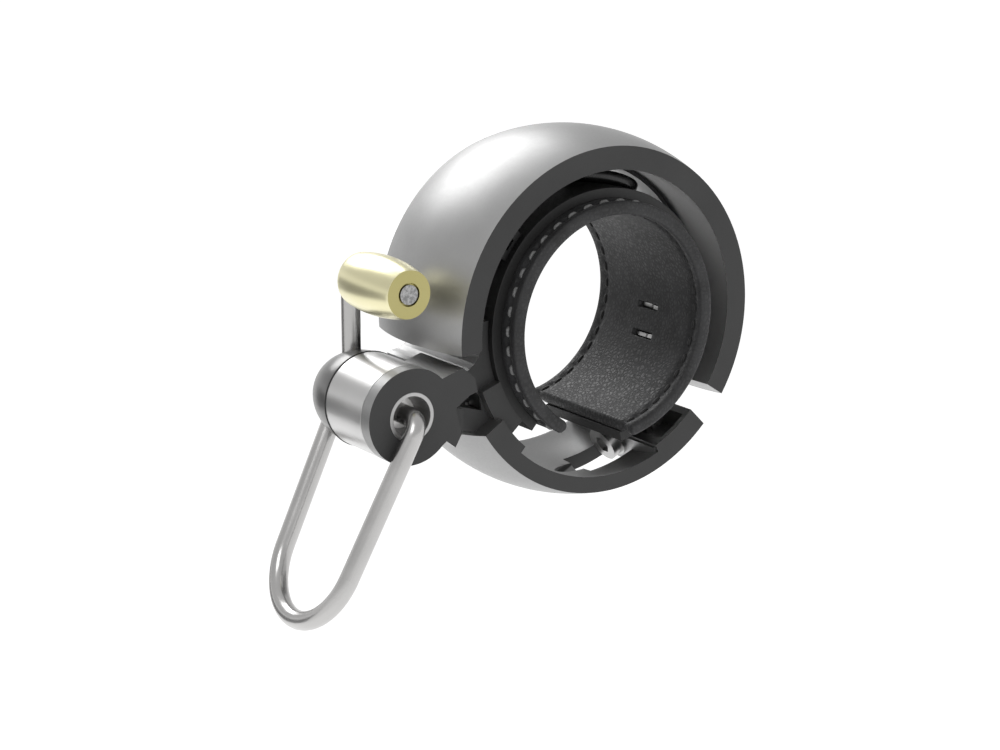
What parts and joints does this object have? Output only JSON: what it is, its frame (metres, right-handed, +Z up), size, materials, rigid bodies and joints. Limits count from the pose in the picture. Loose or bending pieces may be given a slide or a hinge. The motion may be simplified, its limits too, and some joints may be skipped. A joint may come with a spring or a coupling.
{
  "type": "bicycle bell",
  "caption": "Bicycle bell shaped as an open ring that closes round a handlebar, with a leather-lined strap and a sprung wire lever that swings a brass hammer onto the ring.",
  "frame": {"origin": "centre of the handlebar bore, on its axis, at the middle of the ring's width", "axes": "+X along the handlebar, towards the lever's open end; +Z up; the striker is on the -Y side"},
  "size_m": [0.0273, 0.0774, 0.0669],
  "materials": {
    "sounder_alloy": "fine satin, dark grey anodised; the flat faces are darker",
    "cradle_alloy": "satin dark grey; the flat faces are darker",
    "sleeve_steel": "polished lengthwise, soft reflections",
    "hub_steel": "turned and polished",
    "wire_steel": "drawn wire, polished",
    "hammer_brass": "pale satin brass, turned face",
    "liner_leather": "black full-grain leather with a fine pebble, stitched along both edges",
    "strap_plastic": "moulded black nylon",
    "black_rubber": "smooth black rubber, slightly glossy",
    "bush_metal": "plain machined",
    "bush_bronze": "sintered bearing metal",
    "hook_steel": "plain sheet steel",
    "fastener_steel": "zinc-plated or stainless"
  },
  "bodies": {
    "base": {"base_cradle": "cradle_alloy", "striker_housing": "cradle_alloy", "barrel_sleeve": "sleeve_steel", "near_bush": "bush_metal", "far_bush": "bush_bronze", "seam_washer": "black_rubber", "torsion_spring": "fastener_steel", "housing_screw": "fastener_steel", "strap_band": "strap_plastic", "band_rivets": "fastener_steel", "liner": "liner_leather", "liner_staples": "fastener_steel", "sounder": "sounder_alloy", "sounder_grommet": "black_rubber", "sounder_screw": "fastener_steel", "side_bumper": "black_rubber", "bolt_washer": "fastener_steel"},
    "striker": {"spindle": "fastener_steel", "retaining_ring": "fastener_steel", "hub": "hub_steel", "hammer_rod": "wire_steel", "hammer": "hammer_brass", "lever_wire": "wire_steel"},
    "clamp_screw": {"clamp_bolt": "fastener_steel"},
    "clamp_carriage": {"clamp_hook": "hook_steel", "clamp_nut": "fastener_steel"}
  },
  "joints": [
    {"name": "striker_swing", "type": "hinge", "parent": "base", "child": "striker", "pos_m": [0, -0.0338, -0.00914], "axis": [1, 0, 0], "range_deg": [-10, 35], "stiffness_Nm_per_rad": 0.05},
    {"name": "clamp_screw_turn", "type": "hinge", "parent": "base", "child": "clamp_screw", "pos_m": [0, 0.0109, -0.0205], "axis": [0, -0.8829, -0.4695], "range_deg": [0, 1080]},
    {"name": "hook_slide", "type": "slide", "parent": "base", "child": "clamp_carriage", "axis": [0, 0.8829, 0.4695], "range_m": [0, 0.0015]}
  ],
  "couplings": [
    {"joint": "clamp_screw_turn", "follows": "hook_slide", "rad_per_m": 12566}
  ]
}
